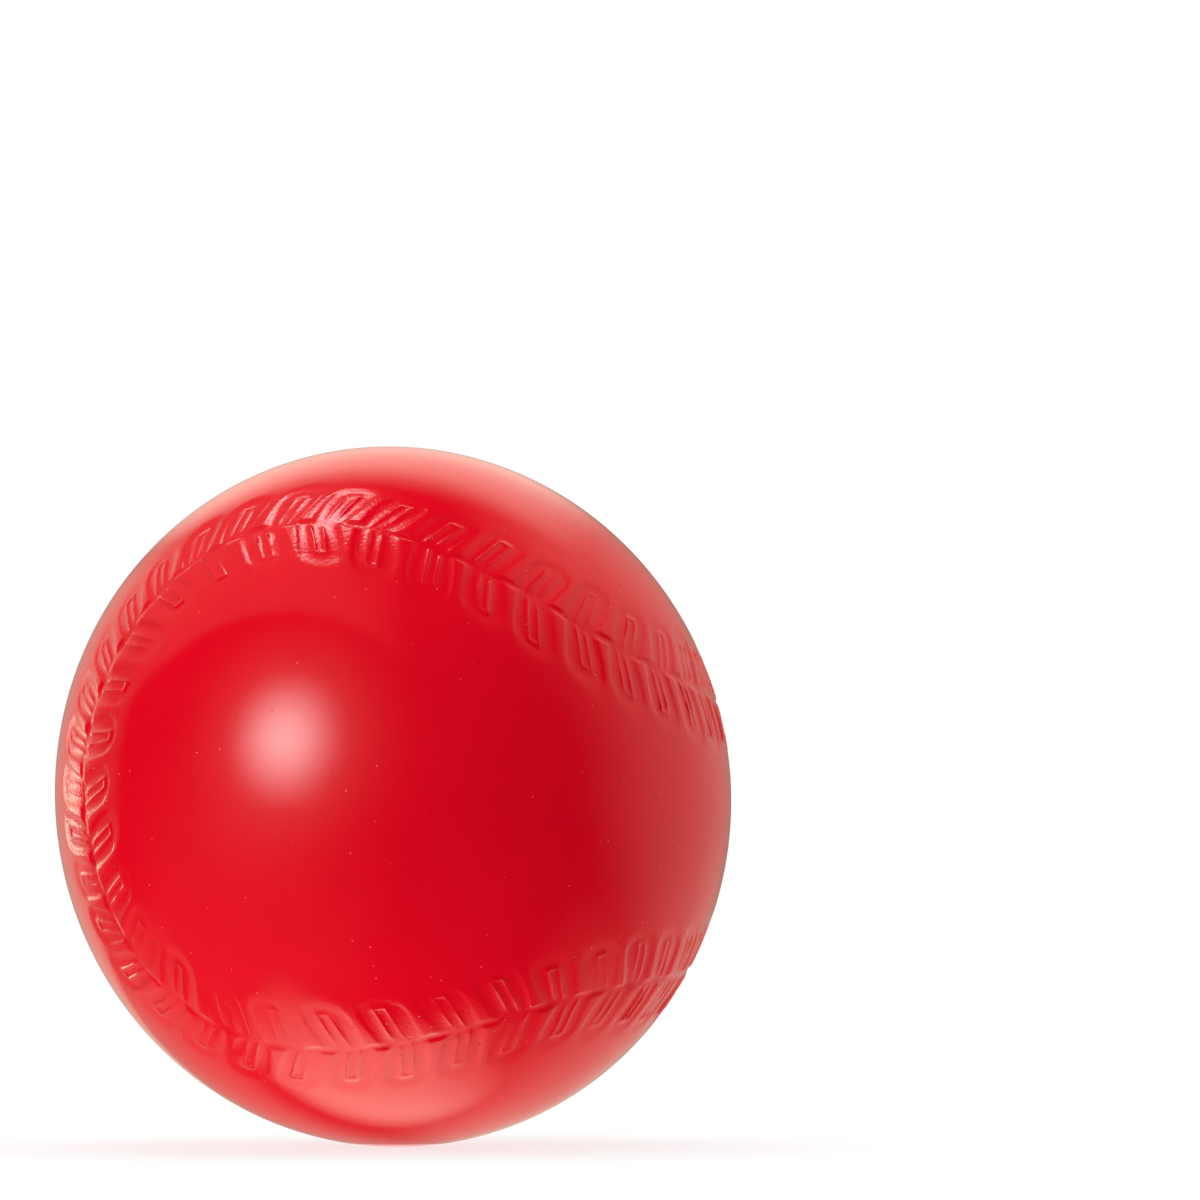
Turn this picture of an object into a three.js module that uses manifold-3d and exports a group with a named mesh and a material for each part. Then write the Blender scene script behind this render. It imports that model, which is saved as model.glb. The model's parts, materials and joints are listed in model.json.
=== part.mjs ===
// Vinyl play ball: a hollow skin with moulded imitation stitching, closed by a two-piece needle valve.
// Sizes are in millimetres. The ball's centre is the origin, +Z is up and the valve faces +Y.

import * as THREE from "three";
import { ConvexHull } from "three/addons/math/ConvexHull.js";
import { mergeVertices } from "three/addons/utils/BufferGeometryUtils.js";
import Module from "manifold-3d";

const { degToRad, smoothstep } = THREE.MathUtils;

// Ball: a sphere drawn out a little along one axis, which leans to the left of upright
const ballWidth = 150;
const ballLength = 155.7;
const longAxisLean = degToRad(9.8);
const wall = 1.6;

// Seam: one closed curve that parts the skin into two like panels, each with two lobes and a waist
const waistAngle = degToRad(22.4);
const swingAngle = degToRad(26.3);
const seamRoll = degToRad(6.8);
const lobeCount = 4;
const seamBand = 1.2;
const seamDepth = 0.4;

// Stitches: tongues pressed into the skin in a row on each side of the seam, leaning alike as they leave it
const stitchReach = 15;
const stitchDepth = 0.5;
const stitchSlope = 3.2;
const stitchFoot = 2.4;
const stitchLean = degToRad(16);
const stitchCrowding = 0.09;
const stitchRows = [
  { side: -1, stitchPitch: 11.86, phase: 0.7 },
  { side: 1, stitchPitch: 11.08, phase: 0.34 },
];

// Valve sleeve: a tube with a stop for the plug and a flange behind the boss
const sleeveDiameter = 8;
const sleeveWall = 0.6;
const sleeveSink = 0.4;
const flangeRim = 1.8;
const flangeThickness = 1.2;
const stopThickness = 1;
const ventDiameter = 2.6;

// Valve plug: a stopper with a head, sealing ribs and a blind bore for the inflating needle
const plugHeadHeight = 1.6;
const plugRibDepth = 0.35;
const plugRibHeight = 1.2;
const plugRibCount = 3;
const plugLeadIn = 0.6;
const plugFloor = 2.8;
const needleDiameter = 2.5;

// Valve boss: the thick neck inside the skin that grips the sleeve
const bossWall = 2.75;
const bossLength = 10;

// Valve pad: the flat round the valve, with a raised lip that rings the recess of the sleeve
const recessGap = 0.7;
const recessDepth = 1;
const lipWidth = 2;
const lipHeight = 0.9;
const padMargin = 5.05;

// Clearance between each two pieces that fit together
const fitClearance = 0.3;

// Fineness of the faceted surfaces
const panelSpacing = 9;
const stitchAcross = [-0.5, -0.2, 0.2];
const stitchOutward = [0, 0.1, 0.6, 0.83, 1];
const insideDetail = 6;
const valveSides = 24;
const lipSteps = 6;
const seamSamples = 400;
const tangentStep = 0.0003;
const padRingOffset = 3;

// Sizes that follow from the ones above
const ballRadius = ballWidth / 2;
const sleeveHoleDiameter = sleeveDiameter + 2 * fitClearance;
const bossDiameter = sleeveHoleDiameter + 2 * bossWall;
const recessRadius = sleeveDiameter / 2 + recessGap;
const padRadius = recessRadius + lipWidth + padMargin;
const padLevel = Math.sqrt(ballRadius ** 2 - padRadius ** 2);
const valveLevel = padLevel + lipHeight - sleeveSink;
const bossEnd = padLevel - bossLength;
const sleeveLength = valveLevel - bossEnd + fitClearance + flangeThickness;
const boreDiameter = sleeveDiameter - 2 * sleeveWall;
const boreDepth = sleeveLength - stopThickness;
const plugDiameter = boreDiameter - 2 * fitClearance;
const plugLength = boreDepth - fitClearance;
const longAxis = new THREE.Vector3(-Math.sin(longAxisLean), 0, Math.cos(longAxisLean));
const valveAxis = new THREE.Vector3(0, 1, 0);

const wasm = await Module();
wasm.setup();

// Merges a geometry's shared corners and drops the triangles that collapse on an axis.
function weld(geometry) {
  const bare = new THREE.BufferGeometry();
  bare.setAttribute("position", geometry.getAttribute("position"));
  bare.setIndex(geometry.getIndex());
  const merged = mergeVertices(bare);
  const index = merged.getIndex().array;
  const kept = [];
  for (let i = 0; i < index.length; i += 3) {
    const [a, b, c] = index.slice(i, i + 3);
    if (a !== b && b !== c && c !== a) {
      kept.push(a, b, c);
    }
  }
  merged.setIndex(kept);
  return merged;
}

function solidOf(geometry) {
  const welded = weld(geometry);
  return new wasm.Manifold(new wasm.Mesh({
    numProp: 3,
    vertProperties: new Float32Array(welded.getAttribute("position").array),
    triVerts: new Uint32Array(welded.getIndex().array),
  }));
}

function geometryOf(solid) {
  const { vertProperties, triVerts } = solid.getMesh();
  const geometry = new THREE.BufferGeometry();
  geometry.setAttribute("position", new THREE.BufferAttribute(vertProperties, 3));
  geometry.setIndex(new THREE.BufferAttribute(triVerts, 1));
  return geometry;
}

// Turns a profile of [radius, height] points about the valve axis.
function turned(profile) {
  const points = profile.map(([radius, height]) => new THREE.Vector2(radius, height));
  return weld(new THREE.LatheGeometry(points, valveSides));
}

// A round bar along the valve axis, between two heights.
function bar(diameter, low, high) {
  const geometry = new THREE.CylinderGeometry(diameter / 2, diameter / 2, high - low, valveSides);
  geometry.translate(0, (low + high) / 2, 0);
  return solidOf(geometry);
}

// The point of the ball's surface in a direction, raised by a height.
function surfacePoint(direction, rise) {
  const drawnOut = longAxis.clone().multiplyScalar(direction.dot(longAxis) * (ballLength / 2 - ballRadius));
  return direction.clone().multiplyScalar(ballRadius + rise).add(drawnOut);
}

// The seam as a direction from the ball's centre, for t from 0 to 1 round the ball.
function seamDirection(t) {
  const turn = 4 * Math.PI * t;
  const polar = Math.PI / 2 - (Math.PI / 2 - waistAngle) * Math.cos(turn);
  const around = turn / 2 + swingAngle * Math.sin(2 * turn);
  const direction = new THREE.Vector3(
    Math.cos(polar),
    Math.sin(polar) * Math.sin(around),
    Math.sin(polar) * Math.cos(around),
  );
  return direction.applyAxisAngle(valveAxis, seamRoll);
}

// A line that runs beside the seam, at a fixed distance to one side of it.
class SeamLine extends THREE.Curve {
  constructor(distance) {
    super();
    this.angle = distance / ballRadius;
    this.arcLengthDivisions = seamSamples;
  }

  getPoint(t) {
    return besideSeam(t, this.angle);
  }
}

function besideSeam(t, angle) {
  const centre = seamDirection(t);
  const forward = seamDirection(t + tangentStep).sub(seamDirection(t - tangentStep)).normalize();
  const sideways = new THREE.Vector3().crossVectors(centre, forward);
  return centre.multiplyScalar(Math.cos(angle)).addScaledVector(sideways, Math.sin(angle));
}

// The relief of a stitch: a sunk seam, then a level floor with slopes at its sides and round its far end.
function stitchRise(across, outward, pitch) {
  const half = pitch / 2;
  const pastEndCentre = Math.max(0, outward - (stitchReach - half));
  const fromSpine = Math.hypot(across, pastEndCentre);
  const sunk = seamDepth * smoothstep(stitchFoot - outward, 0, stitchFoot);
  const pressed = stitchDepth * smoothstep(half - fromSpine, 0, stitchSlope);
  return -Math.max(sunk, pressed);
}

// A place along a row, as a share of it: stitches stand closer together round the lobes than between them.
function crowded(share) {
  const lobeTurn = 2 * Math.PI * lobeCount;
  return THREE.MathUtils.euclideanModulo(share - stitchCrowding * Math.sin(lobeTurn * share) / lobeTurn, 1);
}

// Directions and heights that describe one row of stitches.
function stitchPoints({ side, stitchPitch, phase }) {
  const rowLine = new SeamLine(side * stitchReach / 2);
  const rowLength = rowLine.getLength() * ballRadius;
  const count = Math.round(rowLength / stitchPitch);
  const pitch = rowLength / count;
  const points = [];
  for (let stitch = 0; stitch < count; stitch += 1) {
    for (const shareAcross of stitchAcross) {
      for (const shareOutward of stitchOutward) {
        const across = shareAcross * pitch;
        const outward = THREE.MathUtils.lerp(seamBand / 2, stitchReach, shareOutward);
        const along = (stitch + phase) * pitch + across + (outward - stitchReach / 2) * Math.tan(stitchLean);
        const t = rowLine.getUtoTmapping(crowded(along / rowLength));
        points.push({
          direction: besideSeam(t, side * outward / ballRadius),
          rise: stitchRise(across, outward, pitch),
        });
      }
    }
  }
  return points;
}

// Evenly strewn directions on the two plain panels, clear of the stitches and the valve pad.
function panelPoints() {
  const seam = new SeamLine(0).getSpacedPoints(seamSamples);
  const goldenAngle = Math.PI * (3 - Math.sqrt(5));
  const areaPerPoint = panelSpacing ** 2 * Math.sqrt(3) / 2;
  const count = Math.round(4 * Math.PI * ballRadius ** 2 / areaPerPoint);
  const seamLimit = Math.cos((stitchReach + panelSpacing / 2) / ballRadius);
  const padLimit = Math.cos((padRadius + panelSpacing) / ballRadius);
  const points = [];
  for (let i = 0; i < count; i += 1) {
    const height = 1 - 2 * (i + 0.5) / count;
    const reach = Math.sqrt(1 - height ** 2);
    const direction = new THREE.Vector3(
      reach * Math.cos(i * goldenAngle),
      reach * Math.sin(i * goldenAngle),
      height,
    );
    const clearOfSeam = seam.every((place) => place.dot(direction) < seamLimit);
    const clearOfPad = direction.dot(valveAxis) < padLimit;
    if (clearOfSeam && clearOfPad) {
      points.push({ direction, rise: 0 });
    }
  }
  return points;
}

// Two rings of directions just inside and just outside the edge of the valve pad.
function padPoints() {
  const points = [];
  for (const radius of [padRadius - padRingOffset, padRadius + padRingOffset]) {
    const tilt = Math.asin(radius / ballRadius);
    for (let i = 0; i < valveSides; i += 1) {
      const around = 2 * Math.PI * i / valveSides;
      const direction = new THREE.Vector3(
        Math.sin(tilt) * Math.cos(around),
        Math.cos(tilt),
        Math.sin(tilt) * Math.sin(around),
      );
      points.push({ direction, rise: 0 });
    }
  }
  return points;
}

// The outside of the skin: directions joined by their convex hull, each then set at its own height.
function outsideSolid() {
  const points = [...stitchRows.flatMap(stitchPoints), ...panelPoints(), ...padPoints()];
  const order = new Map(points.map(({ direction }, i) => [direction, i]));
  const hull = new ConvexHull().setFromPoints(points.map(({ direction }) => direction));
  const index = [];
  for (const face of hull.faces) {
    for (const edge of [face.edge, face.edge.next, face.edge.prev]) {
      index.push(order.get(edge.head().point));
    }
  }
  const geometry = new THREE.BufferGeometry();
  geometry.setFromPoints(points.map(({ direction, rise }) => surfacePoint(direction, rise)));
  geometry.setIndex(index);
  return solidOf(geometry);
}

function insideSolid() {
  const geometry = weld(new THREE.IcosahedronGeometry(1, insideDetail));
  const position = geometry.getAttribute("position");
  for (let i = 0; i < position.count; i += 1) {
    const direction = new THREE.Vector3().fromBufferAttribute(position, i).normalize();
    position.setXYZ(i, ...surfacePoint(direction, -wall));
  }
  return solidOf(geometry);
}

// The raised lip: a half ellipse on the pad, with a foot in the skin.
function lipSolid() {
  const halfWidth = lipWidth / 2;
  const middle = recessRadius + halfWidth;
  const foot = padLevel - wall / 2;
  const profile = [[middle - halfWidth, foot], [middle + halfWidth, foot]];
  for (let i = 0; i <= lipSteps; i += 1) {
    const angle = Math.PI * i / lipSteps;
    profile.push([middle + halfWidth * Math.cos(angle), padLevel + lipHeight * Math.sin(angle)]);
  }
  profile.push(profile[0]);
  return solidOf(turned(profile));
}

function shellGeometry() {
  const beyondPad = bar(2 * ballWidth, padLevel, ballWidth);
  const boss = bar(bossDiameter, bossEnd, padLevel);
  const hollow = insideSolid().subtract(boss);
  const sleeveHole = bar(sleeveHoleDiameter, 0, ballWidth);
  const recess = bar(2 * recessRadius, valveLevel - recessDepth, ballWidth);
  const skin = outsideSolid().subtract(beyondPad).subtract(hollow);
  return geometryOf(skin.add(lipSolid()).subtract(sleeveHole).subtract(recess));
}

// The sleeve and the plug are drawn with the valve's rim at height 0.
function sleeveGeometry() {
  const outer = sleeveDiameter / 2;
  const bore = boreDiameter / 2;
  const vent = ventDiameter / 2;
  const flange = outer + flangeRim;
  return turned([
    [vent, -sleeveLength],
    [flange, -sleeveLength],
    [flange, flangeThickness - sleeveLength],
    [outer, flangeThickness - sleeveLength],
    [outer, 0],
    [bore, 0],
    [bore, -boreDepth],
    [vent, -boreDepth],
    [vent, -sleeveLength],
  ]);
}

function plugGeometry() {
  const head = plugDiameter / 2;
  const shank = head - plugRibDepth;
  const needle = needleDiameter / 2;
  const ribStep = (plugLength - plugHeadHeight - plugLeadIn) / plugRibCount;
  const profile = [
    [0, -plugLength],
    [shank - plugLeadIn, -plugLength],
    [shank, plugLeadIn - plugLength],
  ];
  for (let rib = 0; rib < plugRibCount; rib += 1) {
    const middle = plugLeadIn - plugLength + (rib + 0.5) * ribStep;
    profile.push([shank, middle - plugRibHeight / 2]);
    profile.push([head, middle]);
    profile.push([shank, middle + plugRibHeight / 2]);
  }
  profile.push([shank, -plugHeadHeight]);
  profile.push([head, -plugHeadHeight]);
  profile.push([head, 0]);
  profile.push([needle, 0]);
  profile.push([needle, plugFloor + needle - plugLength]);
  profile.push([0, plugFloor - plugLength]);
  return turned(profile);
}

function piece(name, geometry, color, roughness) {
  const material = new THREE.MeshStandardMaterial({ color, roughness, metalness: 0 });
  const mesh = new THREE.Mesh(geometry, material);
  mesh.name = name;
  return mesh;
}

const valve = new THREE.Group();
valve.position.y = valveLevel;
valve.add(piece("valve_sleeve", sleeveGeometry(), "#e6dcc0", 0.5));
valve.add(piece("valve_plug", plugGeometry(), "#ece3ca", 0.6));

const ball = new THREE.Group();
ball.add(piece("ball_shell", shellGeometry(), "#dc0a1e", 0.35));
ball.add(valve);

export default ball;
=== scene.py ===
# %% [markdown]
# # A moulded vinyl play ball
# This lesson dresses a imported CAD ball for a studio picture. The ball is a hollow red vinyl skin with
# moulded imitation stitching, and a cream two-piece needle valve. The CAD model is the fixed frame: it gives
# the sizes, the bodies and the joint, and nothing here moves it. Each step makes one finished piece over it.

# %% Load the fixed frame
import json
import math

import bpy
import numpy as np
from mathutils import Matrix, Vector, geometry, kdtree


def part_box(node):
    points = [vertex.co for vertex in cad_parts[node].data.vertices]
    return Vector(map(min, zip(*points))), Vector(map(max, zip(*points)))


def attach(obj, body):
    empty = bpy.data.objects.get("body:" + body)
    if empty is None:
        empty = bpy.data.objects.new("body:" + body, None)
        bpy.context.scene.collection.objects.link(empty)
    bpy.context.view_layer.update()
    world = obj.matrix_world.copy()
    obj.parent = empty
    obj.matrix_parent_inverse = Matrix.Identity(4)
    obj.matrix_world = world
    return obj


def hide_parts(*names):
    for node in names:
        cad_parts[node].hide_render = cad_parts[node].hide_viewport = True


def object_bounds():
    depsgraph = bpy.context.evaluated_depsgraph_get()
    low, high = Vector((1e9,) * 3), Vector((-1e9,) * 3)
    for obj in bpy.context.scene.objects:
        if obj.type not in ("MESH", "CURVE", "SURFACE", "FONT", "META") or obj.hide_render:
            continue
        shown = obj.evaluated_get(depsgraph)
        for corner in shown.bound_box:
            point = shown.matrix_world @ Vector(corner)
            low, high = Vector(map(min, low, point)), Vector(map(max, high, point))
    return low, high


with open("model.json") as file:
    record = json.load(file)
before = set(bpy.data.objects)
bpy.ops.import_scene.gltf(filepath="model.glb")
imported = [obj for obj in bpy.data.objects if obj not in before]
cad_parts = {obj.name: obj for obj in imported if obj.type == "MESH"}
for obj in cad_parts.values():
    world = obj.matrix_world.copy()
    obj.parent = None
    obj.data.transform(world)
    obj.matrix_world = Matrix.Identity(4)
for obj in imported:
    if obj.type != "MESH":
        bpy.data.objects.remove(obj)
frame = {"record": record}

MM = 0.001
cad_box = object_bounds()
print("CAD box in mm", [[round(value / MM, 2) for value in corner] for corner in cad_box])

# %% [markdown]
# ## Sizes
# The skin, the seam and the stitches follow the same rules as the CAD part, so their driving sizes are
# repeated here in millimetres. What the frame already knows is read from it instead: the heights of the
# valve come from the mounts, and the reach of the sleeve and the plug from their boxes. The CAD skin is
# faceted, and its facets lie a little inside the true surface, so the smooth skin is drawn that much smaller.

# %% Driving sizes of the ball
FACET_INSET = 0.2
BALL_RADIUS = 150 / 2 - FACET_INSET
STRETCH = 155.7 / 150 - 1
LONG_AXIS_LEAN = math.radians(9.8)
WALL = 1.6

WAIST_ANGLE = math.radians(22.4)
SWING_ANGLE = math.radians(26.3)
SEAM_ROLL = math.radians(6.8)
LOBE_COUNT = 4

STITCH_REACH = 15
STITCH_LEAN = math.radians(16)
STITCH_CROWDING = 0.09
STITCH_ROWS = [(-1, 11.86, 0.7), (1, 11.08, 0.34)]

long_axis = np.array([-math.sin(LONG_AXIS_LEAN), 0, math.cos(LONG_AXIS_LEAN)])
mounts = {mount["name"]: mount for mount in frame["record"]["mounts"]}
pad_level = mounts["valve_pad"]["pos_m"][1] / MM
valve_level = mounts["needle_seat"]["pos_m"][1] / MM
print(f"pad at {pad_level:.2f} mm, valve rim at {valve_level:.2f} mm from the ball's centre")

# %% [markdown]
# ## The seam
# A baseball's seam parts the sphere into two like panels, each with two round lobes and a narrow waist. It
# could be drawn by hand as a curve on a sphere, but it follows a rule: one turn round the ball in which the
# line swings twice towards each pole. So it is a formula for directions from the ball's centre, and a
# second formula steps sideways from it, which is where the two rows of stitches stand.

# %% Seam formulas
TANGENT_STEP = 0.0003
SEAM_SAMPLES = 6001


def turned_about_valve(points, angle):
    """Points turned about the valve's axis, +Y."""
    x, y, z = np.moveaxis(points, -1, 0)
    across = x * math.cos(angle) + z * math.sin(angle)
    up = z * math.cos(angle) - x * math.sin(angle)
    return np.stack([across, y, up], -1)


def seam_direction(t):
    """Unit directions of the seam, for t from 0 to 1 round the ball."""
    turn = 4 * math.pi * t
    polar = math.pi / 2 - (math.pi / 2 - WAIST_ANGLE) * np.cos(turn)
    around = turn / 2 + SWING_ANGLE * np.sin(2 * turn)
    direction = [np.cos(polar), np.sin(polar) * np.sin(around), np.sin(polar) * np.cos(around)]
    return turned_about_valve(np.stack(direction, -1), SEAM_ROLL)


def sideways_of_seam(t):
    """Unit directions square to the seam and to the ball's radius."""
    forward = seam_direction(t + TANGENT_STEP) - seam_direction(t - TANGENT_STEP)
    sideways = np.cross(seam_direction(t), forward)
    return sideways / np.linalg.norm(sideways, axis=-1, keepdims=True)


def beside_seam(t, distance):
    """Unit directions at a distance in mm to the side of the seam."""
    angle = np.asarray(distance / BALL_RADIUS)[..., None]
    return seam_direction(t) * np.cos(angle) + sideways_of_seam(t) * np.sin(angle)


seam_t = np.linspace(0, 1, SEAM_SAMPLES)
seam_steps = np.linalg.norm(np.diff(seam_direction(seam_t), axis=0), axis=1)
print(f"seam {seam_steps.sum() * BALL_RADIUS:.0f} mm long")

# %% [markdown]
# ## The stitches
# The seam is a narrow groove, and each stitch is a shallow tongue pressed into the skin beside it. A tongue
# has short walls at its sides, a softer one round its far end, and on its floor a fine U-shaped rib that dies
# out towards the seam. All of them lean the same way along the seam, and no two came out quite alike. One
# could sculpt a tongue and copy it, but copies would not follow the turning seam and would leave cuts in the
# skin. Here the skin itself gets a grid of points along each row, close where the relief is steep and open
# where it is level, and every point keeps what it needs to know: how deep in its tongue it lies, how far from
# the seam and from the rib, and how strong the relief is.

# %% Relief of one stitch, measured across it and outward from the seam
BAND_START = 0.3
BAND_END = 16.2
LAND_WIDTH = 0.9
TONGUE_PINCH = 0.6
TONGUE_PINCH_END = 8
TONGUE_SIDE_WALL = 1.5
TONGUE_END_WALL = 3.2
TONGUE_END_DEPTH = 0.55
RIB_FOOT_AT = 0.4
RIB_FOOT_SLANT = 0.28
RIB_HALF_GAP = 1.2
RIB_WIDTH = 0.5
RIB_END = 10
STITCH_SHIFT = 0.4
STITCH_SWAY = 1.1
RIB_SPREAD = 1.0
REACH_SPREAD = 1.2
LEAST_STRENGTH = 0.6
WALL_COLUMNS = 5
RIB_COLUMNS = 5
FOOT_END = 2.2
FOOT_ROWS = 7
SPINE_ROWS = 6
RIB_END_ROWS = 4
TIP_ROWS = 5


def smooth(value, low, high):
    """A soft step from 0 at low to 1 at high."""
    share = np.clip((value - low) / (high - low), 0, 1)
    return share * share * (3 - 2 * share)


def columns_across(pitch):
    """Places across one stitch, close together at its sides and at the ribs."""
    half = pitch / 2
    side = np.linspace(-half, -half + LAND_WIDTH / 2 + TONGUE_SIDE_WALL, WALL_COLUMNS)
    rib = np.linspace(-RIB_HALF_GAP - RIB_WIDTH, -RIB_HALF_GAP + RIB_WIDTH, RIB_COLUMNS)
    left = np.concatenate([side, [(side[-1] + rib[0]) / 2], rib])
    return np.concatenate([left, [0], -left[:0:-1]])


def rows_outward():
    """Places outward from the seam, close together at the foot and at the rib's end."""
    foot = np.linspace(BAND_START, FOOT_END, FOOT_ROWS)
    spine = np.linspace(foot[-1], RIB_END - 2 * RIB_WIDTH, SPINE_ROWS + 1)[1:]
    rib = np.linspace(RIB_END - RIB_WIDTH, RIB_END + RIB_WIDTH, RIB_END_ROWS)
    tip = np.linspace(rib[-1], BAND_END, TIP_ROWS + 1)[1:]
    return np.concatenate([foot, spine, rib, tip])


def tongue_depth(across, outward, pitch, reach):
    """How deep a place lies in its tongue: 0 on the skin around it, 1 where its floor meets the seam."""
    half = (pitch - LAND_WIDTH) / 2
    width = half - TONGUE_PINCH * (1 - smooth(outward, 0, TONGUE_PINCH_END))
    tip = reach - half + np.sqrt(np.maximum(half ** 2 - across ** 2, 0))
    walls = smooth(width - np.abs(across), 0, TONGUE_SIDE_WALL) * smooth(tip - outward, 0, TONGUE_END_WALL)
    return walls * (1 - (1 - TONGUE_END_DEPTH) * outward / STITCH_REACH)


def rib_distance(across, outward):
    """Distance from the U-shaped rib, which is open towards the seam."""
    side = np.abs(across) - RIB_HALF_GAP
    end = outward - RIB_END
    outside = np.hypot(np.maximum(side, 0), np.maximum(end, 0))
    return np.abs(outside + np.minimum(np.maximum(side, end), 0))


chance = np.random.default_rng(11)
print(len(rows_outward()), "rows of points from the seam to a stitch's end")

# %% Skin under construction: points with their relief measures, and faces
CLEAR_OF = 9
BEFORE_FOOT = -1
NO_RELIEF = {
    "tongue_depth": 0, "foot_distance": BEFORE_FOOT, "rib_distance": CLEAR_OF, "seam_distance": CLEAR_OF,
}
RELIEF = (*NO_RELIEF, "tongue_strength", "rib_strength", "tick")
MEASURES = (*RELIEF, "stitched")
skin_points = []
skin_faces = []
skin_measures = {name: [] for name in MEASURES}


def add_points(points, **measures):
    """Adds points to the skin, in mm, and gives back their numbers."""
    first = sum(len(chunk) for chunk in skin_points)
    skin_points.append(points)
    for name in MEASURES:
        value = measures.get(name, NO_RELIEF.get(name, 0))
        skin_measures[name].append(np.broadcast_to(value, len(points)))
    return np.arange(first, first + len(points))


def grid_faces(numbers, flip):
    """Quads of a grid of point numbers whose first direction closes on itself."""
    after = np.roll(numbers, -1, axis=0)
    quads = [numbers[:, :-1], after[:, :-1], after[:, 1:], numbers[:, 1:]]
    quads = np.stack(quads[::-1] if flip else quads, -1)
    skin_faces.extend(quads.reshape(-1, 4).tolist())


def crowded(share):
    """A place along a row, as a share of it: stitches stand closer round the lobes than between them."""
    lobe_turn = 2 * math.pi * LOBE_COUNT
    return (share - STITCH_CROWDING * np.sin(lobe_turn * share) / lobe_turn) % 1


def stitch_row(side, stitch_pitch, phase):
    """The skin on one side of the seam. Gives back its grid of point numbers and its places on the seam."""
    line = beside_seam(seam_t, side * STITCH_REACH / 2) * BALL_RADIUS
    along_line = np.append(0, np.cumsum(np.linalg.norm(np.diff(line, axis=0), axis=1)))
    row_length = along_line[-1]
    count = round(row_length / stitch_pitch)
    pitch = row_length / count
    across = columns_across(pitch)
    outward = rows_outward()
    stitch, across, outward = np.meshgrid(np.arange(count), across, outward, indexing="ij")
    shift, sway, stretch = chance.uniform(-1, 1, (3, count))
    tongue_strength, rib_strength = chance.uniform(LEAST_STRENGTH, 1, (2, count))
    reach = STITCH_REACH - REACH_SPREAD * chance.uniform(0, 1, count)
    inside = 1 - (2 * across / pitch) ** 2
    moved = STITCH_SHIFT * shift[stitch] + STITCH_SWAY * sway[stitch] * (outward / STITCH_REACH - 0.5)
    along = (stitch + phase) * pitch + across + (outward - STITCH_REACH / 2) * math.tan(STITCH_LEAN)
    t = np.interp(crowded((along + inside * moved) / row_length) * row_length, along_line, seam_t)
    longer = RIB_SPREAD * stretch[stitch] * np.sin(math.pi * (outward - BAND_START) / (BAND_END - BAND_START))
    direction = beside_seam(t, side * (outward + inside * longer))
    numbers = add_points(
        direction.reshape(-1, 3) * BALL_RADIUS,
        tongue_depth=tongue_depth(across, outward, pitch, reach[stitch]).ravel(),
        foot_distance=(outward - RIB_FOOT_AT - RIB_FOOT_SLANT * across).ravel(),
        rib_distance=rib_distance(across, outward).ravel(),
        tongue_strength=tongue_strength[stitch].ravel(),
        rib_strength=rib_strength[stitch].ravel(),
        seam_distance=outward.ravel(),
        stitched=smooth(outward, BAND_END, RIB_END).ravel(),
    )
    rows = outward.shape[-1]
    grid = numbers.reshape(-1, rows)
    grid_faces(grid, flip=side < 0)
    print(f"row {side:+d}: {count} stitches, pitch {pitch:.2f} mm, {grid.size} points")
    return grid, t.reshape(-1, rows)


bands = {side: stitch_row(side, stitch_pitch, phase) for side, stitch_pitch, phase in STITCH_ROWS}

# %% [markdown]
# ## Closing the seam
# The two rows have their own rhythm along the seam, so their inner edges don't match point for point. A zip
# joins them: walking round the seam, it always steps on along the edge whose next point comes first.

# %% Zip the two rows together
PAST_THE_END = 2


def zip_edges(left, left_t, right, right_t):
    """Triangles between two closed edges whose points are at places t on the seam."""
    left_order = np.argsort(left_t)
    right_order = np.argsort(right_t)
    left = np.append(left[left_order], left[left_order[0]])
    right = np.append(right[right_order], right[right_order[0]])
    left_t = np.append(left_t[left_order], PAST_THE_END)
    right_t = np.append(right_t[right_order], PAST_THE_END)
    i = 0
    j = 0
    while i < len(left) - 1 or j < len(right) - 1:
        if left_t[min(i + 1, len(left) - 1)] <= right_t[min(j + 1, len(right) - 1)] and i < len(left) - 1:
            skin_faces.append([int(left[i]), int(left[i + 1]), int(right[j])])
            i += 1
        else:
            skin_faces.append([int(left[i]), int(right[j + 1]), int(right[j])])
            j += 1


(left_grid, left_places), (right_grid, right_places) = bands[-1], bands[1]
zip_edges(left_grid[:, 0], left_places[:, 0], right_grid[:, 0], right_places[:, 0])
print(len(skin_faces), "faces with the seam closed")

# %% [markdown]
# ## The valve pad and the inside
# Round the valve the mould leaves a flat pad, a hair proud of the skin at its edge, with a raised lip and a
# recess for the sleeve. Small raised ticks in a ring fill the pad. Behind it a thick neck, the boss, grips
# the sleeve, and the rest of the inside is a plain wall. All of that turns about the valve's axis, so one
# profile makes it, and the skin is a true hollow shell.

# %% Pad, lip, recess, boss and inner wall as one turned profile
PAD_SIDES = 192
PAD_EDGE_WIDTH = 0.5
LIP_WIDTH = 2
LIP_HEIGHT = 0.9
LIP_STEPS = 8
RECESS_GAP = 0.7
RECESS_DEPTH = 1
FIT_CLEARANCE = 0.3
BOSS_WALL = 2.75
BOSS_LENGTH = 10
TICK_COUNT = 24
TICK_START = 7.6
TICK_END = 9.8
TICK_WIDTH = 0.9
TICK_SLOPE = 0.35
INNER_RINGS = 20

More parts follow.
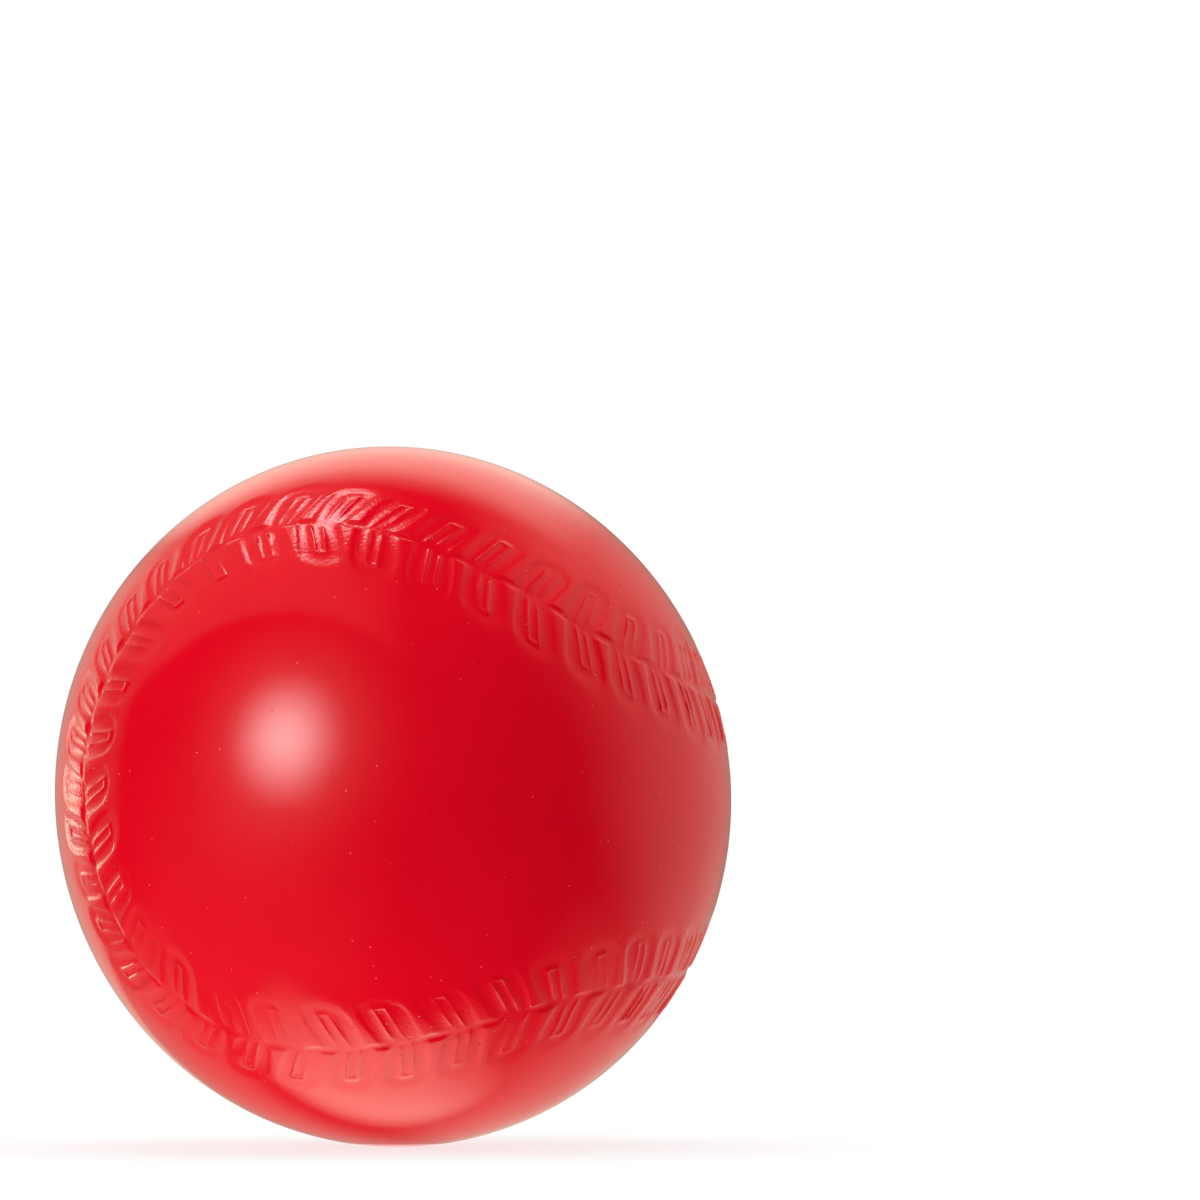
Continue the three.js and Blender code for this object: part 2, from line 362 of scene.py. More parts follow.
sleeve_low, sleeve_high = (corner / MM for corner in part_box("valve_sleeve"))
plug_low, plug_high = (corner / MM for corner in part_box("valve_plug"))
SLEEVE_RADIUS = 4
SLEEVE_WALL = 0.6
recess_radius = SLEEVE_RADIUS + RECESS_GAP
lip_radius = recess_radius + LIP_WIDTH
hole_radius = SLEEVE_RADIUS + FIT_CLEARANCE
boss_radius = hole_radius + BOSS_WALL
boss_end = pad_level - BOSS_LENGTH
pad_radius = math.sqrt((BALL_RADIUS + FACET_INSET) ** 2 - pad_level ** 2)
pad_edge_level = math.sqrt(BALL_RADIUS ** 2 - pad_radius ** 2)


def pad_profile():
    """[radius, height] from the pad's edge over the lip and down the hole to the inner pole."""
    edge = [[pad_radius, pad_edge_level], [pad_radius - PAD_EDGE_WIDTH / 2, (pad_edge_level + pad_level) / 2]]
    flat = [pad_radius - PAD_EDGE_WIDTH, (pad_radius + TICK_END) / 2, TICK_END, TICK_END - TICK_SLOPE]
    flat += [(TICK_START + TICK_END) / 2, TICK_START + TICK_SLOPE, TICK_START, (TICK_START + lip_radius) / 2]
    profile = edge + [[radius, pad_level] for radius in [*flat, lip_radius]]
    for step in range(1, LIP_STEPS + 1):
        turn = math.pi * step / LIP_STEPS
        middle = (lip_radius + recess_radius) / 2
        profile.append([middle + LIP_WIDTH / 2 * math.cos(turn), pad_level + LIP_HEIGHT * math.sin(turn)])
    recess_floor = valve_level - RECESS_DEPTH
    profile += [[recess_radius, recess_floor], [hole_radius, recess_floor], [hole_radius, boss_end]]
    profile += [[boss_radius, boss_end]]
    inner = BALL_RADIUS - WALL
    start = math.asin(boss_radius / inner)
    for tilt in np.linspace(start, math.pi, INNER_RINGS + 1)[:-1]:
        profile.append([inner * math.sin(tilt), inner * math.cos(tilt)])
    return np.array(profile)


def ring_of_ticks(radius, around):
    """1 on the raised ticks of the pad, 0 between them."""
    middle = (np.arange(TICK_COUNT) + 0.5) * 2 * math.pi / TICK_COUNT
    away = np.abs(np.angle(np.exp(1j * (around[:, None] - middle)))).min(axis=1) * radius
    across = smooth(away, TICK_WIDTH / 2 + TICK_SLOPE, TICK_WIDTH / 2)
    begins = smooth(radius, TICK_START, TICK_START + TICK_SLOPE)
    ends = smooth(radius, TICK_END, TICK_END - TICK_SLOPE)
    return across * (begins * ends)


profile = pad_profile()
around = 2 * math.pi * np.arange(PAD_SIDES) / PAD_SIDES
rings = []
for radius, height in profile:
    ring = np.stack([radius * np.sin(around), np.full(PAD_SIDES, height), radius * np.cos(around)], -1)
    on_pad = height == pad_level
    tick = ring_of_ticks(np.full(PAD_SIDES, radius), around) if on_pad else 0
    rings.append(add_points(ring, tick=tick))
grid_faces(np.stack(rings, -1), flip=False)
inner_pole = add_points(np.array([[0, WALL - BALL_RADIUS, 0]]))[0]
last_ring = rings[-1].tolist()
skin_faces.extend([last_ring[i - 1], last_ring[i], int(inner_pole)] for i in range(PAD_SIDES))
print(len(profile), "rings of", PAD_SIDES, "points for the pad and the inside")

# %% [markdown]
# ## The plain panels
# Between the stitches the skin is smooth. A sphere primitive could not meet the fine edges of the rows, so
# each panel is strewn with evenly spaced points and filled with triangles by Blender's own constrained
# Delaunay function, which keeps the rows' edges as they are. It works in the plane, so each panel is laid
# flat by a stereographic projection from the far side of the ball, which keeps the triangles' shapes.

# %% Strew and fill the two panels
PANEL_SPACING = 2.1
PANEL_CLEARANCE = 0.9
PAD_EDGE_RINGS = [(0.5, 144), (1.5, 72)]
GOLDEN_ANGLE = math.pi * (3 - math.sqrt(5))
FILL_INSIDE = 1
FILL_PRECISION = 1e-9

seam_tree = kdtree.KDTree(len(seam_t))
for number, direction in enumerate(seam_direction(seam_t)):
    seam_tree.insert(direction, number)
seam_tree.balance()
seam_sideways = sideways_of_seam(seam_t)


def panel_of(direction):
    """The side of the seam that a direction lies on, or 0 on the stitches."""
    nearest, number, _ = seam_tree.find(direction)
    angle = math.acos(min(1, nearest.dot(Vector(direction))))
    if angle * BALL_RADIUS < BAND_END + PANEL_CLEARANCE:
        return 0
    return 1 if np.dot(direction, seam_sideways[number]) > 0 else -1


def even_directions(spacing):
    """Evenly strewn directions, on a golden spiral from pole to pole."""
    count = round(4 * math.pi * BALL_RADIUS ** 2 / (spacing ** 2 * math.sqrt(3) / 2))
    number = np.arange(count)
    height = 1 - 2 * (number + 0.5) / count
    reach = np.sqrt(1 - height ** 2)
    turn = number * GOLDEN_ANGLE
    return np.stack([reach * np.cos(turn), reach * np.sin(turn), height], -1)


def pad_edge_points():
    """Rings of points just outside the pad, in ever larger steps."""
    points = []
    for beyond, count in PAD_EDGE_RINGS:
        turn = 2 * math.pi * (np.arange(count) + 0.5) / count
        radius = pad_radius + beyond
        height = math.sqrt(BALL_RADIUS ** 2 - radius ** 2)
        points.append(np.stack([radius * np.sin(turn), np.full(count, height), radius * np.cos(turn)], -1))
    return np.concatenate(points)


def fill_panel(side, inner, holes):
    """Fills one panel with triangles, between the row's far edge, the holes' edges and the inner points."""
    edge = bands[side][0][:, -1]
    numbers = np.concatenate([edge, *holes, inner])
    points = np.concatenate(skin_points)[numbers] / BALL_RADIUS
    centre = turned_about_valve(np.array([-side, 0, 0]), SEAM_ROLL)
    flat_x = np.array([0, 1, 0])
    flat_y = np.cross(centre, flat_x)
    lift = 1 + points @ centre
    flat = np.stack([points @ flat_x / lift, points @ flat_y / lift], -1)
    loops = []
    start = 0
    for loop in [edge, *holes]:
        own = np.arange(start, start + len(loop))
        loops += np.stack([own, np.roll(own, -1)], -1).tolist()
        start += len(loop)
    face = list(range(len(edge)))
    filled = geometry.delaunay_2d_cdt(
        [Vector(point) for point in flat], loops, [face], FILL_INSIDE, FILL_PRECISION,
    )
    _, _, triangles, origins, _, _ = filled
    back = [given[0] for given in origins]
    in_hole = set(range(len(edge), start))
    for corners in triangles:
        own = [back[corner] for corner in corners]
        if not in_hole.issuperset(own):
            skin_faces.append([int(numbers[corner]) for corner in own])


directions = even_directions(PANEL_SPACING)
sides = np.array([panel_of(direction) for direction in directions])
pad_reach = pad_radius + PAD_EDGE_RINGS[-1][0] + PANEL_CLEARANCE
clear_of_pad = directions[:, 1] < math.cos(pad_reach / BALL_RADIUS)
faces_before = len(skin_faces)
valve_panel = np.concatenate([directions[(sides == -1) & clear_of_pad] * BALL_RADIUS, pad_edge_points()])
fill_panel(-1, add_points(valve_panel), [rings[0]])
fill_panel(1, add_points(directions[sides == 1] * BALL_RADIUS), [])
print(len(skin_faces) - faces_before, "triangles in the two panels")

# %% [markdown]
# ## Colours and the one node helper
# Colours are written as sRGB hex, as a paint program shows them, and one function turns them to the linear
# values that shaders work in. One more function adds a node with its settings and links, for every tree.

# %% Colour and node helpers
def linear(hex_colour):
    """An sRGB hex colour as linear RGBA."""
    shares = [int(hex_colour[i:i + 2], 16) / 255 for i in (1, 3, 5)]
    return [s / 12.92 if s <= 0.04045 else ((s + 0.055) / 1.055) ** 2.4 for s in shares] + [1]


def add(tree, kind, links, **settings):
    """A node in a tree. links gives each input by name or number a value or another node's output."""
    node = tree.nodes.new(kind)
    for name, value in settings.items():
        setattr(node, name, value)
    for socket, source in links.items():
        if isinstance(source, bpy.types.NodeSocket):
            tree.links.new(source, node.inputs[socket])
        else:
            node.inputs[socket].default_value = source
    return node


def per_metre(size_mm):
    """The scale of a pattern in object coordinates, from its real size."""
    return 1 / (size_mm * MM)


print("linear red", [round(value, 3) for value in linear("#d9081e")])

# %% [markdown]
# ## Red vinyl, turned in a hot mould
# The skin is plasticised vinyl that fused against a polished mould. That gives the eye an even, deep red with
# a satin gloss, slight clouds where the wall is thicker, a faint orange peel, and tiny raised pimples whose
# pale tops are painted highlight. The stitched band cooled less evenly: its peel is stronger, and it has
# pin-holes where air bubbles touched the mould, painted dark red inside as painted shade. Round the valve the
# mould was turned on a lathe, and its marks show.

# %% Vinyl material
VINYL_IOR = 1.5
VINYL_ROUGHNESS = (0.07, 0.12)
PEEL_SIZE = 0.8  # the real peel is about 0.3 mm, drawn coarser so that it shows in the picture
PEEL_HEIGHT = 0.007
STITCHED_PEEL = 7.5
CLOUD_SIZE = 22
PIT_SPACING = 4
PIT_RADIUS = 0.36
PIT_DEPTH = 0.16
PIT_SHARE = 0.7
SPECK_SPACING = 3.4
SPECK_RADIUS = 0.26
SPECK_HEIGHT = 0.05
SPECK_SHARE = 0.6
TOOL_MARK_PITCH = 1.1
TOOL_MARK_HEIGHT = 0.002
TOOL_MARK_REACH = 34
TOOL_MARK_WOBBLE = 1.5
RINGS_PER_UNIT = 20 / (2 * math.pi)  # at a scale of 1, Blender's wave texture turns its sine by 20 per unit


def dots(tree, place, spacing, radius, share):
    """1 at the middle of strewn round dots, 0 around them. Only a share of the places has its dot."""
    cells = add(tree, "ShaderNodeTexVoronoi", {"Vector": place, "Scale": per_metre(spacing)})
    dot = add(tree, "ShaderNodeMapRange", {
        "Value": cells.outputs["Distance"], "From Min": radius / spacing, "From Max": 0.0,
    }, interpolation_type="SMOOTHSTEP")
    drawn = add(tree, "ShaderNodeMath", {0: cells.outputs["Color"], 1: share}, operation="LESS_THAN")
    return add(tree, "ShaderNodeMath", {
        0: dot.outputs["Result"], 1: drawn.outputs[0],
    }, operation="MULTIPLY").outputs[0]


def vinyl_material():
    """The red skin: clouds, gloss, peel, pin-holes with painted shade, pimples with painted highlight, tool
    marks.
    """
    material = bpy.data.materials.new("rotomoulded_red_vinyl")
    material.use_nodes = True
    tree = material.node_tree
    shader = tree.nodes["Principled BSDF"]
    shader.inputs["IOR"].default_value = VINYL_IOR
    place = add(tree, "ShaderNodeTexCoord", {}).outputs["Object"]

    cloud = add(tree, "ShaderNodeTexNoise", {
        "Vector": place, "Scale": per_metre(CLOUD_SIZE), "Detail": 6, "Roughness": 0.7,
    })
    red = add(tree, "ShaderNodeMix", {
        0: cloud.outputs["Fac"], 6: linear("#d0051b"), 7: linear("#de0a20"),
    }, data_type="RGBA")

    gloss = add(tree, "ShaderNodeMapRange", {
        "Value": cloud.outputs["Fac"], "To Min": VINYL_ROUGHNESS[0], "To Max": VINYL_ROUGHNESS[1],
    })
    tree.links.new(gloss.outputs["Result"], shader.inputs["Roughness"])

    stitched = add(tree, "ShaderNodeAttribute", {}, attribute_name="stitched").outputs["Fac"]
    coarser = add(tree, "ShaderNodeMapRange", {"Value": stitched, "To Min": 1.0, "To Max": STITCHED_PEEL})
    peel = add(tree, "ShaderNodeTexNoise", {"Vector": place, "Scale": per_metre(PEEL_SIZE), "Detail": 1})
    peeled = add(tree, "ShaderNodeMath", {
        0: peel.outputs["Fac"], 1: coarser.outputs["Result"],
    }, operation="MULTIPLY")
    peel_bump = add(tree, "ShaderNodeBump", {"Height": peeled.outputs[0], "Distance": PEEL_HEIGHT * MM})

    holes = dots(tree, place, PIT_SPACING, PIT_RADIUS, PIT_SHARE)
    pit_and_painted_shade = add(tree, "ShaderNodeMath", {0: holes, 1: stitched}, operation="MULTIPLY")
    pit_bump = add(tree, "ShaderNodeBump", {
        "Height": pit_and_painted_shade.outputs[0], "Distance": PIT_DEPTH * MM, "Normal": peel_bump.outputs["Normal"],
    }, invert=True)

    # painted shade: the pin-holes are painted dark red inside, where shade falls into them
    dark = add(tree, "ShaderNodeMix", {
        0: pit_and_painted_shade.outputs[0], 6: red.outputs[2], 7: linear("#7a0010"),
    }, data_type="RGBA")

    # painted highlight: the tops of the tiny raised pimples are painted pale red
    pimples_and_painted_highlight = dots(tree, place, SPECK_SPACING, SPECK_RADIUS, SPECK_SHARE)
    painted_pimple_highlight = add(tree, "ShaderNodeMix", {
        0: pimples_and_painted_highlight, 6: dark.outputs[2], 7: linear("#f6706c"),
    }, data_type="RGBA")
    tree.links.new(painted_pimple_highlight.outputs[2], shader.inputs["Base Color"])
    speck_bump = add(tree, "ShaderNodeBump", {
        "Height": pimples_and_painted_highlight, "Distance": SPECK_HEIGHT * MM, "Normal": pit_bump.outputs["Normal"],
    })

    marks = add(tree, "ShaderNodeTexWave", {
        "Vector": place, "Scale": per_metre(TOOL_MARK_PITCH) / RINGS_PER_UNIT,
        "Distortion": TOOL_MARK_WOBBLE, "Detail": 2,
    }, wave_type="RINGS", rings_direction="Y")
    reach = add(tree, "ShaderNodeVectorMath", {0: place, 1: (0, BALL_RADIUS * MM, 0)}, operation="DISTANCE")
    fade = add(tree, "ShaderNodeMapRange", {
        "Value": reach.outputs["Value"], "From Min": TOOL_MARK_REACH * MM, "From Max": pad_radius * MM,
    }, interpolation_type="SMOOTHSTEP")
    mark = add(tree, "ShaderNodeMath", {
        0: marks.outputs["Fac"], 1: fade.outputs["Result"],
    }, operation="MULTIPLY")
    mark_bump = add(tree, "ShaderNodeBump", {
        "Height": mark.outputs[0], "Distance": TOOL_MARK_HEIGHT * MM, "Normal": speck_bump.outputs["Normal"],
    })
    tree.links.new(mark_bump.outputs["Normal"], shader.inputs["Normal"])
    return material


vinyl = vinyl_material()
print("made", vinyl.name)

# %% [markdown]
# ## Cream valve rubber
# The sleeve and the plug are soft moulded rubber, filled with chalk, so they are cream and nearly matt, with
# fine grains. The sleeve is painted a little darker than the plug, as painted shade on its ring.

# %% Rubber materials
RUBBER_IOR = 1.5
GRAIN_SIZE = 0.35
GRAIN_HEIGHT = 0.02


def rubber_material(name, dark, light, roughness):
    """Cream rubber with fine grains between a dark and a light colour."""
    material = bpy.data.materials.new(name)
    material.use_nodes = True
    tree = material.node_tree
    shader = tree.nodes["Principled BSDF"]
    shader.inputs["Roughness"].default_value = roughness
    shader.inputs["IOR"].default_value = RUBBER_IOR
    place = add(tree, "ShaderNodeTexCoord", {}).outputs["Object"]
    grain = add(tree, "ShaderNodeTexNoise", {"Vector": place, "Scale": per_metre(GRAIN_SIZE), "Detail": 3})
    cream = add(tree, "ShaderNodeValToRGB", {"Fac": grain.outputs["Fac"]})
    cream.color_ramp.elements[0].color = linear(dark)
    cream.color_ramp.elements[1].color = linear(light)
    tree.links.new(cream.outputs["Color"], shader.inputs["Base Color"])
    bump = add(tree, "ShaderNodeBump", {"Height": grain.outputs["Fac"], "Distance": GRAIN_HEIGHT * MM})
    tree.links.new(bump.outputs["Normal"], shader.inputs["Normal"])
    return material


# painted shade: the sleeve's cream is darker than the plug's for the shade on its ring
shaded_sleeve_rubber = rubber_material("cream_rubber_sleeve_with_painted_shade", "#d2b282", "#ecd4aa", roughness=0.35)
plug_rubber = rubber_material("moulded_cream_rubber_plug", "#e2cba6", "#f3e2c4", roughness=0.5)
print("made", shaded_sleeve_rubber.name, "and", plug_rubber.name)

# %% [markdown]
# ## Embossing the skin
# The skin is still smooth: it only knows its measures. A Geometry Nodes tree turns them into relief: the
# tongues and the seam's groove go in, and the ribs and the pad's ticks come out. A noise in patches makes the
# ribs and the groove stronger and weaker along the seam, as on the real mould. Every point is pushed along
# its own direction, so the depths stay named inputs that can be tried out like the depth of a mould. The
# result is then made a plain mesh, which is what the export keeps.

# %% Geometry Nodes tree that embosses the stitches
PATCH_SIZE = 6
PATCH_RANGE = (0.25, 0.6)
SEAM_LEAST = 0.45
SEAM_BLEND = 0.06
EMBOSS_SIZES = {
    "Tongue depth": 0.54,
    "Rib foot": 1.8,
    "Rib height": 0.36,
    "Rib width": RIB_WIDTH,
    "Seam depth": 0.38,
    "Seam width": 1.6,
    "Tick height": 0.3,
}


def emboss_tree(material):
    """The tree that presses the relief into the skin and paints it."""
    tree = bpy.data.node_groups.new("emboss_stitches", "GeometryNodeTree")
    tree.interface.new_socket("Geometry", in_out="INPUT", socket_type="NodeSocketGeometry")
    for name in EMBOSS_SIZES:
        tree.interface.new_socket(name, in_out="INPUT", socket_type="NodeSocketFloat")
    tree.interface.new_socket("Geometry", in_out="OUTPUT", socket_type="NodeSocketGeometry")
    given = add(tree, "NodeGroupInput", {}).outputs
    measure = {}
    for name in RELIEF:
        node = add(tree, "GeometryNodeInputNamedAttribute", {"Name": name}, data_type="FLOAT")
        measure[name] = node.outputs["Attribute"]
    away = add(tree, "GeometryNodeInputNamedAttribute", {"Name": "away"}, data_type="FLOAT_VECTOR")

    foot = add(tree, "ShaderNodeMapRange", {
        "Value": measure["foot_distance"], "From Max": given["Rib foot"],
    }, interpolation_type="SMOOTHSTEP")
    rib = add(tree, "ShaderNodeMapRange", {
        "Value": measure["rib_distance"], "From Min": given["Rib width"], "From Max": 0.0,
    }, interpolation_type="SMOOTHSTEP")
    own_depth = add(tree, "ShaderNodeMath", {
        0: given["Tongue depth"], 1: measure["tongue_strength"],
    }, operation="MULTIPLY")
    tongue = add(tree, "ShaderNodeMath", {
        0: measure["tongue_depth"], 1: own_depth.outputs[0],
    }, operation="MULTIPLY")
    own_height = add(tree, "ShaderNodeMath", {
        0: given["Rib height"], 1: measure["rib_strength"],
    }, operation="MULTIPLY")
    patches = add(tree, "ShaderNodeTexNoise", {"Scale": per_metre(PATCH_SIZE), "Detail": 1}).outputs["Fac"]
    uneven = add(tree, "ShaderNodeMapRange", {
        "Value": patches, "From Min": PATCH_RANGE[0], "From Max": PATCH_RANGE[1],
    })
    patchy = add(tree, "ShaderNodeMath", {
        0: own_height.outputs[0], 1: uneven.outputs["Result"],
    }, operation="MULTIPLY")
    ribbed = add(tree, "ShaderNodeMath", {
        0: rib.outputs["Result"], 1: patchy.outputs[0],
    }, operation="MULTIPLY")
    footed = add(tree, "ShaderNodeMath", {
        0: ribbed.outputs[0], 1: foot.outputs["Result"],
    }, operation="MULTIPLY")
    own_groove = add(tree, "ShaderNodeMapRange", {
        "Value": patches, "From Min": PATCH_RANGE[0], "From Max": PATCH_RANGE[1], "To Min": SEAM_LEAST,
    })
    own_width = add(tree, "ShaderNodeMath", {
        0: given["Seam width"], 1: own_groove.outputs["Result"],
    }, operation="MULTIPLY")
    seam = add(tree, "ShaderNodeMapRange", {
        "Value": measure["seam_distance"], "From Min": own_width.outputs[0], "From Max": BAND_START,
    }, interpolation_type="SMOOTHSTEP")
    groove = add(tree, "ShaderNodeMath", {
        0: given["Seam depth"], 1: own_groove.outputs["Result"],
    }, operation="MULTIPLY")
    channel = add(tree, "ShaderNodeMath", {
        0: seam.outputs["Result"], 1: groove.outputs[0],
    }, operation="MULTIPLY")
    pressed = add(tree, "ShaderNodeMath", {
        0: tongue.outputs[0], 1: channel.outputs[0], 2: SEAM_BLEND,
    }, operation="SMOOTH_MAX")
    sewn = add(tree, "ShaderNodeMath", {0: footed.outputs[0], 1: pressed.outputs[0]}, operation="SUBTRACT")
    relief = add(tree, "ShaderNodeMath", {
        0: measure["tick"], 1: given["Tick height"], 2: sewn.outputs[0],
    }, operation="MULTIPLY_ADD")
    metres = add(tree, "ShaderNodeMath", {0: relief.outputs[0], 1: MM}, operation="MULTIPLY")
    push = add(tree, "ShaderNodeVectorMath", {
        "Vector": away.outputs["Attribute"], "Scale": metres.outputs[0],
    }, operation="SCALE")
    moved = add(tree, "GeometryNodeSetPosition", {"Geometry": given["Geometry"], "Offset": push.outputs[0]})
    whole = add(tree, "GeometryNodeRealizeInstances", {"Geometry": moved.outputs[0]})
    painted = add(tree, "GeometryNodeSetMaterial", {"Geometry": whole.outputs[0], "Material": material})
    add(tree, "NodeGroupOutput", {"Geometry": painted.outputs[0]})
    return tree


tree = emboss_tree(vinyl)
print(len(tree.nodes), "nodes emboss the stitches")

# %% [markdown]
# ## The finished skin
# The real ball is a little longer than wide, so the points are drawn out along the long axis before the
# relief is pressed. The round valve seat keeps its shape, or the sleeve would no longer fit.

# %% Skin mesh, drawn out, embossed and made plain
SHARP_ANGLE = math.radians(50)


def drawn_out(points):
    """Points drawn out along the ball's long axis, apart from the round seat of the valve."""
    from_axis = np.hypot(points[:, 0], points[:, 2])
    on_seat = points[:, 1] > boss_end - WALL
    share = np.where(on_seat, smooth(from_axis, boss_radius, pad_radius), 1)
    return points + np.outer(share * (points @ long_axis) * STRETCH, long_axis)


def plain_object(name, points, faces):
    """A smooth-shaded mesh object from points in mm."""
    mesh = bpy.data.meshes.new(name)
    mesh.from_pydata((points * MM).tolist(), [], faces)
    mesh.shade_smooth()
    made = bpy.data.objects.new(name, mesh)
    bpy.context.scene.collection.objects.link(made)
    return made


def applied(made):
    """The object with its modifiers turned into a plain mesh."""
    evaluated = made.evaluated_get(bpy.context.evaluated_depsgraph_get())
    made.data = bpy.data.meshes.new_from_object(evaluated)
    made.modifiers.clear()
    made.data.name = made.name
    made.data.set_sharp_from_angle(angle=SHARP_ANGLE)
    return made


points = np.concatenate(skin_points)
skin = plain_object("ball_skin", drawn_out(points), skin_faces)
for name in MEASURES:
    values = np.concatenate(skin_measures[name]).astype(np.float32)
    skin.data.attributes.new(name, "FLOAT", "POINT").data.foreach_set("value", values)
away = (points / np.linalg.norm(points, axis=1, keepdims=True)).astype(np.float32)
skin.data.attributes.new("away", "FLOAT_VECTOR", "POINT").data.foreach_set("vector", away.ravel())
emboss = skin.modifiers.new("emboss stitches", "NODES")
emboss.node_group = tree
for item in tree.interface.items_tree:
    if item.name in EMBOSS_SIZES:
        emboss[item.identifier] = float(EMBOSS_SIZES[item.name])
applied(skin)
for name in (*RELIEF, "away"):
    skin.data.attributes.remove(skin.data.attributes[name])
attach(skin, "ball")
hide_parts("ball_shell")
triangles = sum(len(polygon.vertices) - 2 for polygon in skin.data.polygons)
print("skin:", len(skin.data.vertices), "points,", triangles, "triangles")

# %% [markdown]
# ## Sleeve and plug
# Both valve pieces are turned shapes, so each is a profile swept round the valve's axis. The CAD pieces have
# the right sizes but sharp rims. Moulded rubber has soft rims, so every corner of the profile is rounded by
# a small arc, and the plug keeps its head, its sealing ribs and the bore for the needle.

# %% Turned rubber pieces
VALVE_SIDES = 72
RIM_ROUND = 0.18
ROUND_STEPS = 4
SIDE_PER_ARC = 2.2
FLANGE_THICKNESS = 1.2
STOP_THICKNESS = 1
VENT_RADIUS = 1.3
NEEDLE_RADIUS = 1.25
PLUG_HEAD = 1.6
PLUG_RIB_DEPTH = 0.35
PLUG_RIB_HEIGHT = 1.2
PLUG_RIBS = 3
PLUG_LEAD_IN = 0.6
PLUG_FLOOR = 2.8


def rounded(profile, radius):
    """A profile of [radius, height] corners with each corner replaced by an arc."""
    soft = []
    corners = [Vector(corner) for corner in profile]
    for before, corner, after in zip(corners[-1:] + corners[:-1], corners, corners[1:] + corners[:1]):
        shorter = min((before - corner).length, (after - corner).length)
        reach = min(radius, shorter / SIDE_PER_ARC)
        start = corner + (before - corner).normalized() * reach
        end = corner + (after - corner).normalized() * reach
        if corner.x == 0:
            soft.append(corner)
        else:
            for share in np.linspace(0, 1, ROUND_STEPS):
                soft.append(start.lerp(corner, share).lerp(corner.lerp(end, share), share))
    return np.array(soft)


def turned_piece(name, profile, material):
    """A profile turned about the valve's axis. Points on the axis become poles."""
    angles = 2 * math.pi * np.arange(VALVE_SIDES) / VALVE_SIDES
    points = []
    rings = []
    for radius, height in profile:
        count = VALVE_SIDES if radius > 0 else 1
        first = len(points)
        points += [[radius * math.sin(a), height, radius * math.cos(a)] for a in angles[:count]]
        rings.append([first + (i if count > 1 else 0) for i in range(VALVE_SIDES)])
    faces = []
    for ring, after in zip(rings, rings[1:] + rings[:1]):
        for i in range(VALVE_SIDES):
            j = (i + 1) % VALVE_SIDES
            corners = list(dict.fromkeys([ring[i], ring[j], after[j], after[i]]))
            if len(corners) > 2:
                faces.append(corners)
    made = plain_object(name, np.array(points), faces)
    made.data.materials.append(material)
    print(name, len(faces), "faces")
    return made


def sleeve_profile():
    """[radius, height] corners of the sleeve: stop, bore, rim and flange."""
    flange = (sleeve_high.x - sleeve_low.x) / 2
    bore = SLEEVE_RADIUS - SLEEVE_WALL
    low = sleeve_low.y
    stop = low + STOP_THICKNESS
    shoulder = low + FLANGE_THICKNESS
    return [
        [VENT_RADIUS, low], [VENT_RADIUS, stop], [bore, stop], [bore, valve_level],
        [SLEEVE_RADIUS, valve_level], [SLEEVE_RADIUS, shoulder], [flange, shoulder], [flange, low],
    ]


def plug_profile():
    """[radius, height] corners of the plug: blind bore, head, sealing ribs and lead-in."""
    head = (plug_high.x - plug_low.x) / 2
    shank = head - PLUG_RIB_DEPTH
    low = plug_low.y
    rib_step = (plug_high.y - low - PLUG_HEAD - PLUG_LEAD_IN) / PLUG_RIBS
    profile = [[0, low + PLUG_FLOOR], [NEEDLE_RADIUS, low + PLUG_FLOOR + NEEDLE_RADIUS]]
    profile += [[NEEDLE_RADIUS, valve_level], [head, valve_level], [head, valve_level - PLUG_HEAD]]
    profile += [[shank, valve_level - PLUG_HEAD]]
    for rib in reversed(range(PLUG_RIBS)):
        middle = low + PLUG_LEAD_IN + (rib + 0.5) * rib_step
        half = PLUG_RIB_HEIGHT / 2
        profile += [[shank, middle + half], [head, middle], [shank, middle - half]]
    profile += [[shank, low + PLUG_LEAD_IN], [shank - PLUG_LEAD_IN, low], [0, low]]
    return profile


sleeve = turned_piece("valve_sleeve_tube", rounded(sleeve_profile(), RIM_ROUND), shaded_sleeve_rubber)
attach(sleeve, "ball")
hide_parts("valve_sleeve")

plug = turned_piece("valve_plug_stopper", rounded(plug_profile(), RIM_ROUND), plug_rubber)
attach(plug, "plug")
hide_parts("valve_plug")

# %% [markdown]
# ## Camera
# The picture was taken with a long lens from far off, because the ball's outline is almost free of
# perspective. So the camera stands 30 ball radii away, level with the ball's centre, and the lens is as long
# as the ball's width in the picture asks. The ball sits low and left in the frame, so the camera looks past
# it.

# %% Camera
IMAGE_SIZE = 1200
BALL_IN_IMAGE = (393.3, 796.5)
BALL_RADIUS_IN_IMAGE = 337.7
SENSOR = 36
CAMERA_AZIMUTH = math.radians(-2.1)
CAMERA_RADII = 30
CLIP_END = 50
camera_distance = CAMERA_RADII * BALL_RADIUS * MM

camera_data = bpy.data.cameras.new("camera")
camera = bpy.data.objects.new("camera", camera_data)
bpy.context.scene.collection.objects.link(camera)
bpy.context.scene.camera = camera
focal_pixels = BALL_RADIUS_IN_IMAGE * math.sqrt(CAMERA_RADII ** 2 - 1)
camera_data.sensor_width = SENSOR
camera_data.lens = focal_pixels * SENSOR / IMAGE_SIZE
camera_data.clip_end = CLIP_END
camera.location = (
    camera_distance * math.sin(CAMERA_AZIMUTH), -camera_distance * math.cos(CAMERA_AZIMUTH), 0,
)
turn_right = math.atan((IMAGE_SIZE / 2 - BALL_IN_IMAGE[0]) / focal_pixels)
turn_up = math.atan((BALL_IN_IMAGE[1] - IMAGE_SIZE / 2) / focal_pixels)
camera.rotation_euler = (math.pi / 2 + turn_up, 0, CAMERA_AZIMUTH - turn_right)
print(f"lens {camera_data.lens:.0f} mm at {camera_distance:.2f} m")

